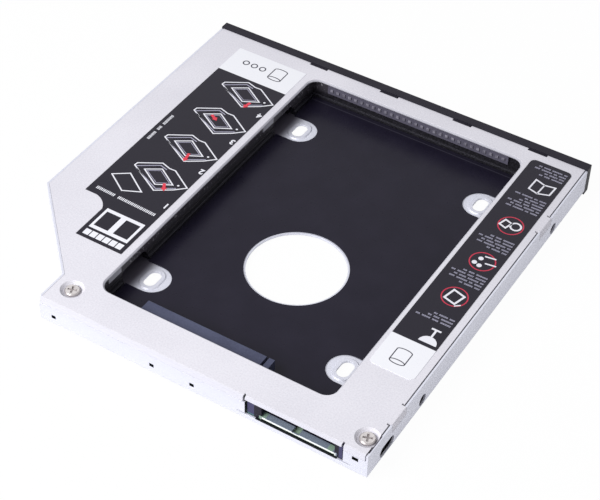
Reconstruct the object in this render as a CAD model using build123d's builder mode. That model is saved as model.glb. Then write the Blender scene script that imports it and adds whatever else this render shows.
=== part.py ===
"""Drive caddy that holds a 2.5 inch drive in a slim optical drive bay.

X runs across the caddy, Y from the rear plug to the front bezel, Z up.
The origin is under the middle of the caddy, on the surface that it lies on.
All sizes are in millimetres.
"""

import os
from math import atan2, tan

from build123d import *

os.makedirs("parts", exist_ok=True)

# Whole caddy
body_width = 127.6
overall_length = 129.7
bezel_height = 9.5
bezel_depth = 3.0
half_width = body_width / 2
rear_y = -overall_length / 2
bezel_front_y = overall_length / 2
bezel_back_y = bezel_front_y - bezel_depth

# The corner that is cut off at the rear left
notch_width = 26.5
notch_length = 37.25
notch_stub = 10.25
notch_x = -half_width + notch_width
notch_start_y = rear_y + notch_length
notch_end_y = rear_y + notch_stub
notch_turn = atan2(notch_width, notch_length - notch_stub)

# Sheet metal; the tray stands a little clear of the surface, because the bezel is taller
base_bottom = 0.7
base_sheet = 0.6
floor_top = base_bottom + base_sheet
cover_sheet = 0.5
cover_from_bezel_top = 0.5
cover_top = bezel_height - cover_from_bezel_top
cover_under = cover_top - cover_sheet
fold_radius = 0.75
cover_fold_radius = 0.7
sheet_gap = 0.12
cover_gap = 0.05
wall_seam = 0.28
wall_below_cover_top = 0.05
wall_top = cover_top - wall_below_cover_top
front_gap = 0.12
base_front_y = bezel_back_y - front_gap
rear_flange_drop = 2.0
plug_flange_drop = 1.05
rear_wall_top = cover_top - rear_flange_drop - sheet_gap

# The window over the bay
bay_x = 10.3
window_off_bay = -0.12
window_width = 72.35
window_from_rear = 11.55
window_from_bezel = 6.0
window_corner = 3.4
window_x = bay_x + window_off_bay
window_left_x = window_x - window_width / 2
window_right_x = window_x + window_width / 2
window_rear_y = rear_y + window_from_rear
window_front_y = bezel_back_y - window_from_bezel
window_length = window_front_y - window_rear_y
window_y = (window_front_y + window_rear_y) / 2
lip_drop = 0.7
lip_bevel = 0.42

# The socket's face, and the slots for the screws under the drive
socket_ahead_of_window = 5.5
socket_face_y = window_rear_y + socket_ahead_of_window
drive_hole_from_socket = 10.75
drive_hole_pitch_x = 61.72
drive_hole_pitch_y = 76.6
drive_holes_y = socket_face_y + drive_hole_from_socket + drive_hole_pitch_y / 2
drive_slot_width = 3.7
drive_slot_length = 6.0
dimple_margin = 1.3
dimple_rise = 0.35
dimple_taper = 40

# The round hole in the middle of the floor
centre_hole_radius = 14.25
centre_hole_behind_holes = 12.95
centre_hole_y = drive_holes_y - centre_hole_behind_holes
centre_film_margin = 0.55

# Insulating film on the floor
film_thickness = 0.3
film_cut_margin = 2.3
film_cut_radius = drive_slot_length / 2 + film_cut_margin
film_from_rear = 10.75

# Moulded frame round the bay
frame_set_back = 0.3
frame_front_set_back = 0.95
frame_wall = 1.7
frame_top_gap = 0.12
frame_top = cover_top - lip_drop - frame_top_gap
frame_left_x = window_left_x - frame_set_back
frame_right_x = window_right_x + frame_set_back
frame_front_y = window_front_y + frame_front_set_back
frame_outer_left = frame_left_x - frame_wall
frame_outer_right = frame_right_x + frame_wall
frame_outer_front = frame_front_y + frame_wall
frame_right_rear_y = window_rear_y - 0.95
ledge_height = 1.2
ledge_depth = 0.45
groove_depth = 0.35
groove_height = 1.8
groove_z = 4.0
foot_width = 7.0
foot_length = 14.0
foot_thickness = 1.3
foot_places_y = (centre_hole_y + 3.55, window_front_y - 4.35)
frame_rib = 1.2
arch_margin = 0.6
arch_height = 4.0
arch_corner = 2.4
retainer_length = 5.6
retainer_drop = 1.7
retainer_gap = 0.2
retainer_behind_hole = 9.2
retainer_places_y = [
    drive_holes_y + end * drive_hole_pitch_y / 2 - retainer_behind_hole for end in (-1, 1)
]
frame_screw_radius = 0.9
frame_screw_head_radius = 1.7
frame_screw_head_height = 0.65
frame_screw_recess = 0.15
frame_screw_places = [
    (x, foot_places_y[0])
    for x in (frame_outer_left - foot_width / 2, frame_outer_right + foot_width / 2)
]

# Buffer strip with a row of studs, on the front wall of the bay
buffer_end_gap = 5.2
buffer_length = window_width - 2 * buffer_end_gap
buffer_height = 3.2
buffer_backing = 0.65
buffer_stud_depth = 0.3
buffer_stud_size = 0.95
buffer_stud_pitch = 2.1
buffer_stud_count = int(buffer_length / buffer_stud_pitch)
buffer_top_gap = 0.1

# Screws that hold the cover, with the pressed dish round each
screw_left_inset = 5.8
screw_left_from_rear = 7.05
screw_right_inset = 3.3
screw_right_from_rear = 5.45
cover_screw_places = (
    (notch_x + screw_left_inset, rear_y + screw_left_from_rear),
    (half_width - screw_right_inset, rear_y + screw_right_from_rear),
)
dish_radius = 3.35
dish_wall_run = 0.75
dish_floor_radius = dish_radius - dish_wall_run
dish_depth = 0.85
frame_left_rear_y = cover_screw_places[0][1] + dish_radius + cover_sheet + sheet_gap
screw_head_radius = 2.15
screw_head_height = 0.75
screw_head_edge = 0.3
screw_shank_radius = 0.95
screw_shank_length = 5.55
screw_hole_gap = 0.2
cross_length = 2.6
cross_width = 0.6
cross_depth = 0.45
cross_turn = 20
right_angle = 90
post_radius = 2.2
post_top = cover_under - dish_depth

# Side and rear openings of the base
side_hole_radius = 1.75
side_hole_z = 3.25
side_hole_from_rear = 28.1
side_hole_from_bezel = 21.75
side_hole_places_y = (rear_y + side_hole_from_rear, bezel_back_y - side_hole_from_bezel)
side_oval_length = 7.1
side_oval_height = 3.5
side_oval_from_rear = 9.8
side_oval_y = rear_y + side_oval_from_rear
side_oval_z = 3.3
rear_slot_width = 1.4
rear_slot_height = 1.15
rear_slot_z = 3.6
rear_slot_from_notch = 4.5
rear_slots_from_bay = (-11.2, 1.4)
rear_slots_x = [notch_x + rear_slot_from_notch] + [bay_x + off for off in rear_slots_from_bay]
corner_slot_width = 1.8
corner_slot_height = 1.2
corner_slot_inset = 3.6
corner_slot_z = 6.0
tab_length = 7.1
tab_relief = 0.6
tab_drop = 2.7
tab_from_rear = 15.65
tab_from_bezel = 27.8
tab_places_y = (rear_y + tab_from_rear, bezel_back_y - tab_from_bezel)

# Connector board, carried clear of the film on short posts
board_thickness = 1.0
board_clearance = 0.2
board_under = floor_top + film_thickness + board_clearance
board_top = board_under + board_thickness
board_gap = 0.15
board_rear_y = rear_y + 2.4
board_tongue_y = rear_y + base_sheet + board_gap
board_length = 10.25
board_plug_y = rear_y + board_length
board_right_x = half_width - 6.0
board_tongue_right_x = half_width - 4.8
board_tongue_length = 33.4
board_tongue_left_x = board_tongue_right_x - board_tongue_length
board_hole_radius = 0.8
board_screw_head_radius = 1.5
board_screw_head_height = 0.7
board_screw_radius = 0.65
board_screw_recess = 0.1
board_post_radius = 1.9

# Socket for the drive
socket_left_of_bay = 23.95
socket_width = 37.5
socket_depth = 8.95
socket_height = 3.5
socket_left_x = bay_x - socket_left_of_bay
socket_right_x = socket_left_x + socket_width
socket_rear_y = socket_face_y - socket_depth
socket_top = board_top + socket_height
socket_front_depth = 3.0
socket_skirt_clearance = 0.25
socket_skirt_bottom = floor_top + film_thickness + socket_skirt_clearance
socket_post_gap = 0.8
socket_post_width = 1.7
socket_post_set_back = 0.3
socket_end_x = socket_right_x + socket_post_gap + socket_post_width
socket_edge = 0.35
contact_pitch = 1.27
signal_contacts = 7
power_contacts = 15
slot_height = 1.7
slot_above_board = 0.5
slot_floor_z = board_top + slot_above_board
slot_depth = 5.2
slot_end_margin = 1.35
slot_key = 1.0
slot_between = 2.3
contact_width = 0.7
contact_thickness = 0.3
contact_length = 4.4
tail_length = 1.6
board_socket_y = socket_face_y - socket_front_depth - board_gap
board_left_x = socket_left_x - 0.95
board_step_x = socket_end_x + 0.95

# Plug that faces the computer, in its opening in the rear wall
plug_opening_width = 28.85
plug_opening_from_side = 7.0
plug_opening_right_x = half_width - plug_opening_from_side
plug_opening_left_x = plug_opening_right_x - plug_opening_width
plug_opening_x = (plug_opening_left_x + plug_opening_right_x) / 2
plug_opening_bottom = board_top - board_gap
board_slit_height = 2 * board_gap
plug_side_gap = 0.45
plug_left_x = plug_opening_left_x + plug_side_gap
plug_right_x = plug_opening_right_x - plug_side_gap
plug_rear_y = rear_y + 0.6
plug_depth = 5.65
plug_front_y = plug_rear_y + plug_depth
plug_base_depth = 2.4
plug_cheek_left = 4.2
plug_cheek_right = 2.3
plug_top_gap = 0.9
plug_top = cover_under - plug_top_gap
tongue_above_board = 0.35
tongue_thickness = 0.7
tongue_nose_height = 0.35
tongue_nose_depth = 0.4
tongue_bottom = board_top + tongue_above_board
tongue_inset = 0.15
tongue_between = 2.1
plug_signal_contacts = 7
plug_power_contacts = 6
plug_contact_width = 0.8
plug_contact_thickness = 0.1
plug_contact_from_end = 0.5
plug_contact_length = 2.7
plug_tail_length = 0.5

# Hold-downs beside both connectors, screws and small parts on the board
hold_down_foot = 0.8
hold_down_thickness = 0.25
hold_down_length = 2.4
hold_down_height = 1.6
board_front_screw_y = board_plug_y - 1.7
board_screw_inset = 3.4
board_screw_from_socket = 7.5
board_screw_from_plug_end = 5.85
board_screw_left_x = socket_end_x + board_screw_from_socket
board_screw_right_x = plug_right_x - board_screw_from_plug_end
board_screw_step = (board_screw_right_x - board_screw_left_x) / 3
board_screw_places = (
    (board_screw_left_x, board_front_screw_y),
    (board_screw_right_x, board_front_screw_y),
    (board_left_x + board_screw_inset, socket_rear_y - board_screw_inset),
)
capacitor_size = (2.0, 1.25, 0.9)
resistor_size = (1.6, 0.8, 0.45)
capacitor_places = [
    (board_screw_left_x + n * board_screw_step, board_front_screw_y) for n in (1, 2)
]
resistor_places = [
    (socket_left_x + n * socket_width / 4, socket_rear_y - board_screw_inset) for n in (1, 2)
]

# Bezel
bezel_face = 1.5
bezel_rim = 1.1
bezel_round = 0.5
bezel_rib = 0.9
bezel_rib_count = 6
bezel_rib_pitch = 20.0
clip_width = 6.0
clip_reach = 0.75
clip_thickness = 0.8
clip_proud = 0.1
clip_pitch = 25.07
clip_count = 4
clip_gap = 0.12
front_wall_top = cover_top + clip_proud - clip_thickness - sheet_gap
arm_length = 7.0
arm_thickness = 1.1
arm_height = 4.0
arm_gap = 0.15
arm_z = 4.7

# Labels
label_thickness = 0.12
left_label_from_edge = 10.85
left_label_from_window = 2.6
left_label_from_bezel = 5.8
left_label_from_rear = 24.9
left_label_block_length = 12.1
left_label_block_width = 8.9
left_label_step = 4.0
left_label_inner_x = window_left_x - left_label_from_window
left_label_outer_x = left_label_from_edge - half_width
left_label_block_x = left_label_outer_x + left_label_block_width
left_label_arc_x = left_label_outer_x + left_label_step
left_label_front_y = bezel_back_y - left_label_from_bezel
left_label_rear_y = rear_y + left_label_from_rear
left_label_block_y = left_label_rear_y + left_label_block_length
left_label_step_y = left_label_block_y + left_label_step
left_label_arc_bow = 0.55
right_label_from_edge = 2.95
right_label_from_bezel = 3.8
right_label_width = 13.0
right_label_length = 95.5
right_label_right_x = half_width - right_label_from_edge
right_label_front_y = bezel_back_y - right_label_from_bezel
right_label_corner = 1.6


def outline_points(inset, front_y, back_y):
    """Corners of the body outline, moved in from the sides by inset."""
    shift = inset * tan(notch_turn / 2)
    return [
        (-half_width + inset, front_y),
        (-half_width + inset, notch_start_y + shift),
        (notch_x + inset, notch_end_y + shift),
        (notch_x + inset, back_y),
        (half_width - inset, back_y),
        (half_width - inset, front_y),
    ]


drive_holes = [
    (bay_x + side * drive_hole_pitch_x / 2, drive_holes_y + end * drive_hole_pitch_y / 2)
    for side in (-1, 1)
    for end in (-1, 1)
]
clip_places_x = [bay_x + clip_pitch * (n - (clip_count - 1) / 2) for n in range(clip_count)]
through = 3 * base_sheet
lowest = (Align.CENTER, Align.CENTER, Align.MIN)
highest = (Align.CENTER, Align.CENTER, Align.MAX)

# Base tray: one folded sheet, with the floor, the side walls, the cut corner and both end walls
with BuildPart() as base_tray:
    with BuildSketch(Plane.XY.offset(base_bottom)):
        with BuildLine():
            Polyline(*outline_points(0, base_front_y, rear_y), close=True)
        make_face()
    extrude(amount=wall_top - base_bottom)
    with BuildSketch(Plane.XY.offset(floor_top)):
        with BuildLine():
            Polyline(
                *outline_points(base_sheet, base_front_y - base_sheet, rear_y + base_sheet),
                close=True,
            )
        make_face()
    extrude(amount=wall_top, mode=Mode.SUBTRACT)
    fillet(base_tray.faces().sort_by(Axis.Z)[0].outer_wire().edges(), fold_radius)
    # The rear wall stops under the cover's flange, the front one under the cover
    with Locations((0, rear_y, rear_wall_top)):
        Box(
            body_width - 2 * base_sheet,
            2 * base_sheet + sheet_gap,
            bezel_height,
            align=lowest,
            mode=Mode.SUBTRACT,
        )
    with Locations((0, base_front_y, front_wall_top)):
        Box(
            body_width - 2 * base_sheet,
            2 * base_sheet + sheet_gap,
            bezel_height,
            align=lowest,
            mode=Mode.SUBTRACT,
        )
    # Raised dimples round the drive slots, pressed up from below
    with BuildSketch(Plane.XY.offset(floor_top)):
        with Locations(*drive_holes):
            SlotOverall(
                drive_slot_length + 2 * dimple_margin,
                drive_slot_width + 2 * dimple_margin,
                rotation=right_angle,
            )
    extrude(amount=dimple_rise, taper=dimple_taper)
    with BuildSketch(Plane.XY.offset(base_bottom)):
        with Locations(*drive_holes):
            SlotOverall(
                drive_slot_length + 2 * dimple_margin,
                drive_slot_width + 2 * dimple_margin,
                rotation=right_angle,
            )
    extrude(amount=dimple_rise, taper=dimple_taper, mode=Mode.SUBTRACT)
    with BuildSketch(Plane.XY.offset(base_bottom)):
        with Locations(*drive_holes):
            SlotOverall(drive_slot_length, drive_slot_width, rotation=right_angle)
    extrude(amount=through, mode=Mode.SUBTRACT)
    # Round hole in the middle of the floor, and the screw holes of the moulded frame
    with BuildSketch(Plane.XY.offset(base_bottom)):
        with Locations((bay_x, centre_hole_y)):
            Circle(centre_hole_radius)
        with Locations(*frame_screw_places):
            Circle(frame_screw_radius + screw_hole_gap)
    extrude(amount=base_sheet, mode=Mode.SUBTRACT)
    # Holes and the oval opening in the right wall, and the front hole in the left wall
    with BuildSketch(Plane.YZ.offset(half_width)):
        with Locations(*[(y, side_hole_z) for y in side_hole_places_y]):
            Circle(side_hole_radius)
        with Locations((side_oval_y, side_oval_z)):
            SlotOverall(side_oval_length, side_oval_height)
    extrude(amount=-through, mode=Mode.SUBTRACT)
    with BuildSketch(Plane.YZ.offset(-half_width)):
        with Locations((side_hole_places_y[1], side_hole_z)):
            Circle(side_hole_radius)
    extrude(amount=through, mode=Mode.SUBTRACT)
    # Small slots, the plug opening and the thin slit at the board in the rear wall
    with BuildSketch(Plane.XZ.offset(-rear_y)):
        with Locations(*[(x, rear_slot_z) for x in rear_slots_x]):
            Rectangle(rear_slot_width, rear_slot_height)
        with Locations((half_width - corner_slot_inset, corner_slot_z)):
            Rectangle(corner_slot_width, corner_slot_height)
    extrude(amount=-through, mode=Mode.SUBTRACT)
    with Locations((plug_opening_x, rear_y, plug_opening_bottom)):
        Box(
            plug_opening_width,
            2 * through,
            bezel_height,
            align=lowest,
            mode=Mode.SUBTRACT,
        )
    with Locations(
        ((board_tongue_left_x + board_tongue_right_x) / 2, rear_y, plug_opening_bottom)
    ):
        Box(
            board_tongue_right_x - board_tongue_left_x,
            2 * through,
            board_slit_height,
            align=lowest,
            mode=Mode.SUBTRACT,
        )
    # Notches in the right wall for the tabs of the cover
    for y in tab_places_y:
        with Locations((half_width, y, cover_top - tab_drop - sheet_gap)):
            Box(
                2 * through,
                tab_length + 2 * sheet_gap,
                bezel_height,
                align=lowest,
                mode=Mode.SUBTRACT,
            )
    # Windows in the front wall and notches in the floor for the clips of the bezel
    for x in clip_places_x:
        with Locations((x, base_front_y, floor_top + clip_thickness / 2)):
            Box(
                clip_width + 2 * clip_gap,
                2 * through,
                clip_thickness + 2 * clip_gap,
                mode=Mode.SUBTRACT,
            )
    for side in (-1, 1):
        arm_x = half_width - base_sheet - arm_gap - arm_thickness / 2
        with Locations((side * arm_x, base_front_y, arm_z)):
            Box(
                arm_thickness + 2 * arm_gap,
                2 * through,
                arm_height + 2 * arm_gap,
                mode=Mode.SUBTRACT,
            )
base_tray.part.label = "base_tray"
export_step(base_tray.part, "parts/base_tray.step")

# The dish pressed into the cover round each of its screws
with BuildPart() as dish:
    with BuildSketch(Plane.XZ):
        with BuildLine():
            Polyline(
                (screw_shank_radius + screw_hole_gap, cover_top - dish_depth),
                (dish_floor_radius, cover_top - dish_depth),
                (dish_radius, cover_top),
                (dish_radius + cover_sheet, cover_top),
                (dish_radius + cover_sheet, cover_under),
                (dish_floor_radius + cover_sheet / 2, cover_under - dish_depth),
                (screw_shank_radius + screw_hole_gap, cover_under - dish_depth),
                close=True,
            )
        make_face()
    revolve(axis=Axis.Z)

# Top cover: one sheet with the window for the drive, a rear flange and two side tabs
with BuildPart() as top_cover:
    with BuildSketch(Plane.XY.offset(cover_under)):
        with BuildLine():
            Polyline(*outline_points(base_sheet + cover_gap, bezel_back_y, rear_y), close=True)
        make_face()
    extrude(amount=cover_sheet)
    cover_left_x = notch_x + base_sheet + cover_gap
    cover_right_x = half_width - base_sheet - wall_seam
    with Locations(((cover_left_x + cover_right_x) / 2, rear_y, cover_top - rear_flange_drop)):
        Box(
            cover_right_x - cover_left_x,
            cover_sheet,
            rear_flange_drop,
            align=(Align.CENTER, Align.MIN, Align.MIN),
        )
    fold = top_cover.edges().filter_by(Axis.X).group_by(Axis.Y)[0].sort_by(Axis.Z)[-1]
    fillet(fold, cover_fold_radius)
    # The flange is shorter over the plug, with a relief notch at each end
    with Locations((plug_opening_x, rear_y, 0)):
        Box(
            plug_opening_width,
            2 * fold_radius,
            cover_top - plug_flange_drop,
            align=(Align.CENTER, Align.CENTER, Align.MIN),
            mode=Mode.SUBTRACT,
        )
    for x in (plug_opening_left_x, plug_opening_right_x):
        with Locations((x, rear_y, 0)):
            Box(
                tab_relief,
                2 * (fold_radius + cover_sheet),
                cover_top,
                align=(Align.MAX, Align.CENTER, Align.MIN),
                mode=Mode.SUBTRACT,
            )
    # Pressed dishes for the screws; a seam along the right wall cuts one of them off
    with Locations(*cover_screw_places):
        Hole(dish_radius + cover_sheet / 2, depth=2 * cover_top)
    with Locations(*cover_screw_places):
        add(dish.part)
    with Locations((cover_right_x, rear_y, 0)):
        Box(
            dish_radius,
            overall_length,
            cover_top,
            align=Align.MIN,
            mode=Mode.SUBTRACT,
        )
    # Window with its edge rolled down
    with BuildSketch(Plane.XY.offset(cover_top - lip_drop)):
        with Locations((window_x, window_y)):
            RectangleRounded(
                window_width + 2 * cover_sheet,
                window_length + 2 * cover_sheet,
                window_corner + cover_sheet,
            )
    extrude(amount=lip_drop)
    for y in retainer_places_y:
        with Locations((window_left_x, y, cover_top - lip_drop - retainer_drop)):
            Box(
                cover_sheet,
                retainer_length,
                retainer_drop + lip_drop / 2,
                align=(Align.MAX, Align.CENTER, Align.MIN),
            )
    with BuildSketch(Plane.XY):
        with Locations((window_x, window_y)):
            RectangleRounded(window_width, window_length, window_corner)
    extrude(amount=cover_top, mode=Mode.SUBTRACT)
    window_edge = [
        edge
        for edge in top_cover.faces().sort_by(Axis.Z)[-1].inner_wires().edges()
        if abs(edge.center().X - window_x) < window_width / 2 + 0.01
        and edge.center().Y > window_rear_y - 0.01
        and edge.center().Y < window_front_y + 0.01
    ]
    chamfer(window_edge, lip_bevel)
    # Tabs bent down into the right wall, with a relief notch on each side
    for y in tab_places_y:
        for end in (-1, 1):
            with Locations((cover_right_x, y + end * (tab_length + tab_relief) / 2, 0)):
                Box(
                    2 * tab_relief,
                    tab_relief,
                    cover_top,
                    align=(Align.CENTER, Align.CENTER, Align.MIN),
                    mode=Mode.SUBTRACT,
                )
        with Locations((half_width, y, cover_top)):
            Box(
                base_sheet + wall_seam + cover_sheet,
                tab_length,
                cover_sheet,
                align=(Align.MAX, Align.CENTER, Align.MAX),
            )
        with Locations((half_width, y, cover_top)):
            Box(
                cover_sheet,
                tab_length,
                tab_drop,
                align=(Align.MAX, Align.CENTER, Align.MAX),
            )
    tab_folds = (
        top_cover.edges()
        .filter_by(Axis.Y)
        .filter_by(lambda e: abs(e.center().X - half_width) < 0.01)
        .filter_by(lambda e: abs(e.center().Z - cover_top) < 0.01)
    )
    fillet(tab_folds, cover_sheet * 0.8)
    # Notches in the front edge for the clips of the bezel
    for x in clip_places_x:
        with Locations((x, bezel_back_y, 0)):
            Box(
                clip_width + 2 * clip_gap,
                2 * (clip_reach + clip_gap),
                cover_top,
                align=(Align.CENTER, Align.CENTER, Align.MIN),
                mode=Mode.SUBTRACT,
            )
top_cover.part.label = "top_cover"
export_step(top_cover.part, "parts/top_cover.step")

# Insulating film that lies on the floor, cut away round the drive holes
film_left_x = frame_left_x + ledge_depth + sheet_gap
film_right_x = frame_right_x - ledge_depth - sheet_gap
film_front_y = frame_front_y - ledge_depth - sheet_gap
film_rear_y = rear_y + film_from_rear
with BuildPart() as insulating_film:
    with BuildSketch(Plane.XY.offset(floor_top)):
        with Locations(((film_left_x + film_right_x) / 2, (film_front_y + film_rear_y) / 2)):
            Rectangle(film_right_x - film_left_x, film_front_y - film_rear_y)
        with Locations((bay_x, centre_hole_y)):
            Circle(centre_hole_radius + centre_film_margin, mode=Mode.SUBTRACT)
        with Locations(*drive_holes):
            Circle(film_cut_radius, mode=Mode.SUBTRACT)
        for x, y in drive_holes:
            outward = 1 if x > bay_x else -1
            with Locations((x + outward * film_cut_radius, y)):
                Rectangle(2 * film_cut_radius, 2 * film_cut_radius, mode=Mode.SUBTRACT)
    extrude(amount=film_thickness)
insulating_film.part.label = "insulating_film"
export_step(insulating_film.part, "parts/insulating_film.step")

# Moulded frame round three sides of the bay, with feet, ribs and arches over the drive holes
with BuildPart() as inner_frame:
    with BuildSketch(Plane.XY.offset(floor_top)):
        with BuildLine():
            Polyline(
                (frame_outer_left, frame_left_rear_y),
                (frame_outer_left, frame_outer_front),
                (frame_outer_right, frame_outer_front),
                (frame_outer_right, frame_right_rear_y),
                (frame_right_x, frame_right_rear_y),
                (frame_right_x, frame_front_y),
                (frame_left_x, frame_front_y),
                (frame_left_x, frame_left_rear_y),
                close=True,
            )
        make_face()
    extrude(amount=frame_top - floor_top)
    # Ledge along the foot of the walls
    with BuildSketch(Plane.XY.offset(floor_top)):
        with Locations(((frame_left_x + frame_right_x) / 2, window_rear_y)):
            Rectangle(
                frame_right_x - frame_left_x,
                frame_front_y - window_rear_y,
                align=(Align.CENTER, Align.MIN),
            )
        with Locations(((frame_left_x + frame_right_x) / 2, window_rear_y)):
            Rectangle(
                frame_right_x - frame_left_x - 2 * ledge_depth,
                frame_front_y - window_rear_y - ledge_depth,
                align=(Align.CENTER, Align.MIN),
                mode=Mode.SUBTRACT,
            )
    extrude(amount=ledge_height)
    # Groove along both rails
    for x in (frame_left_x, frame_right_x):
        with Locations((x, (window_rear_y + frame_front_y) / 2, groove_z)):
            Box(
                2 * groove_depth,
                frame_front_y - window_rear_y - 2 * window_corner,
                groove_height,
                align=lowest,
                mode=Mode.SUBTRACT,
            )
    # Flat feet outside the rails, with a rib at each end and a hole for a screw
    for x, away in ((frame_outer_left, Align.MAX), (frame_outer_right, Align.MIN)):
        for foot_y in foot_places_y:
            with Locations((x, foot_y, floor_top)):
                Box(foot_width, foot_length, foot_thickness, align=(away, Align.CENTER, Align.MIN))
            for end, inner in ((-1, Align.MIN), (1, Align.MAX)):
                with Locations((x, foot_y + end * foot_length / 2, floor_top)):
                    Box(foot_width, frame_rib, frame_top - floor_top, align=(away, inner, Align.MIN))
    with Locations(*[(x, y, floor_top) for x, y in frame_screw_places]):
        Cylinder(frame_screw_radius, foot_thickness, align=lowest, mode=Mode.SUBTRACT)
    # Ribs between the front wall of the moulding and the front wall of the base
    for x in clip_places_x[:-1]:
        with Locations((x + clip_pitch / 2, frame_outer_front, floor_top)):
            Box(
                frame_rib,
                base_front_y - fold_radius - sheet_gap - frame_outer_front,
                frame_top - floor_top,
                align=(Align.CENTER, Align.MIN, Align.MIN),
            )
    # Arches over the drive holes
    arch_half_width = film_cut_radius + arch_margin
    arch_reach = frame_wall + 2 * ledge_depth
    for side, x in ((-1, frame_outer_left), (1, frame_outer_right)):
        with BuildSketch(Plane.YZ.offset(x)):
            for end in (-1, 1):
                with Locations((drive_holes_y + end * drive_hole_pitch_y / 2, floor_top)):
                    RectangleRounded(2 * arch_half_width, 2 * arch_height, arch_corner)
        extrude(amount=-side * arch_reach, mode=Mode.SUBTRACT)
    # Pockets for the retaining tabs of the cover
    for y in retainer_places_y:
        with Locations((window_left_x, y, cover_top - lip_drop - retainer_drop - retainer_gap)):
            Box(
                2 * (cover_sheet + retainer_gap),
                retainer_length + 2 * retainer_gap,
                bezel_height,
                align=lowest,
                mode=Mode.SUBTRACT,
            )
inner_frame.part.label = "inner_frame"
export_step(inner_frame.part, "parts/inner_frame.step")

# Screws that hold the moulded frame from below the floor
with BuildPart() as frame_screws:
    for x, y in frame_screw_places:
        with BuildSketch(Plane.XY.offset(floor_top + foot_thickness)):
            with Locations((x, y)):
                Circle(frame_screw_head_radius)
        extrude(amount=frame_screw_head_height)
        with BuildSketch(Plane.XY.offset(base_bottom + frame_screw_recess)):
            with Locations((x, y)):
                Circle(frame_screw_radius)
        extrude(amount=base_sheet + foot_thickness - frame_screw_recess)
frame_screws.part.label = "frame_screws"
export_step(frame_screws.part, "parts/frame_screws.step")

# Buffer strip with its studs on the front wall
buffer_top = frame_top - buffer_top_gap
with BuildPart() as drive_buffer:
    with Locations((window_x, frame_front_y, buffer_top)):
        Box(
            buffer_length,
            buffer_backing,
            buffer_height,
            align=(Align.CENTER, Align.MAX, Align.MAX),
        )
    with Locations((window_x, frame_front_y - buffer_backing, buffer_top - buffer_height / 2)):
        with GridLocations(buffer_stud_pitch, 1, buffer_stud_count, 1):
            Box(
                buffer_stud_size,
                buffer_stud_depth,
                buffer_stud_size,
                align=(Align.CENTER, Align.MAX, Align.CENTER),
            )
drive_buffer.part.label = "drive_buffer"
export_step(drive_buffer.part, "parts/drive_buffer.step")

# Threaded posts under the screws of the cover
with BuildPart() as cover_posts:
    for x, y in cover_screw_places:
        with BuildSketch(Plane.XY.offset(floor_top)):
            with Locations((x, y)):
                RegularPolygon(post_radius, 6)
        extrude(amount=post_top - floor_top)
        with Locations((x, y, floor_top)):
            Cylinder(screw_shank_radius, bezel_height, align=lowest, mode=Mode.SUBTRACT)
cover_posts.part.label = "cover_posts"
export_step(cover_posts.part, "parts/cover_posts.step")

# Screws of the cover, with a cross recess
with BuildPart() as cover_screws:
    for x, y in cover_screw_places:
        with BuildSketch(Plane.XY.offset(cover_top - dish_depth)):
            with Locations((x, y)):
                Circle(screw_head_radius)
        extrude(amount=screw_head_height)
    head_tops = cover_screws.faces().filter_by(Axis.Z).group_by(Axis.Z)[-1]
    chamfer(head_tops.edges(), screw_head_edge)
    for x, y in cover_screw_places:
        with Locations((x, y, cover_top - dish_depth)):
            Cylinder(screw_shank_radius, screw_shank_length, align=highest)
        for turn in (cross_turn, cross_turn + right_angle):
            with Locations(
                Pos(x, y, cover_top - dish_depth + screw_head_height) * Rot(0, 0, turn)
            ):
                Box(cross_length, cross_width, 2 * cross_depth, mode=Mode.SUBTRACT)
cover_screws.part.label = "cover_screws"
export_step(cover_screws.part, "parts/cover_screws.step")

# Connector board: a wide step under the drive socket and a tongue in the plug opening
with BuildPart() as connector_board:
    with BuildSketch(Plane.XY.offset(board_under)):
        with BuildLine():
            Polyline(
                (board_left_x, board_rear_y),
                (board_left_x, board_socket_y),
                (board_step_x, board_socket_y),
                (board_step_x, board_plug_y),
                (board_right_x, board_plug_y),
                (board_right_x, board_rear_y),
                (board_tongue_right_x, board_rear_y),
                (board_tongue_right_x, board_tongue_y),
                (board_tongue_left_x, board_tongue_y),
                (board_tongue_left_x, board_rear_y),
                close=True,
            )
        make_face()
        with Locations(*board_screw_places):
            Circle(board_hole_radius, mode=Mode.SUBTRACT)
    extrude(amount=board_thickness)
connector_board.part.label = "connector_board"
export_step(connector_board.part, "parts/connector_board.step")

# Short posts under the board, and the screws in them
with BuildPart() as board_posts:
    for x, y in board_screw_places:
        with BuildSketch(Plane.XY.offset(floor_top)):
            with Locations((x, y)):
                RegularPolygon(board_post_radius, 6)
        extrude(amount=board_under - floor_top)
        with Locations((x, y, floor_top)):
            Cylinder(board_screw_radius, board_under, align=lowest, mode=Mode.SUBTRACT)
board_posts.part.label = "board_posts"
export_step(board_posts.part, "parts/board_posts.step")

with BuildPart() as board_screws:
    for x, y in board_screw_places:
        with Locations((x, y, board_top)):
            Cylinder(board_screw_head_radius, board_screw_head_height, align=lowest)
        with Locations((x, y, board_top)):
            Cylinder(board_screw_radius, board_top - floor_top - board_screw_recess, align=highest)
board_screws.part.label = "board_screws"
export_step(board_screws.part, "parts/board_screws.step")

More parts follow.
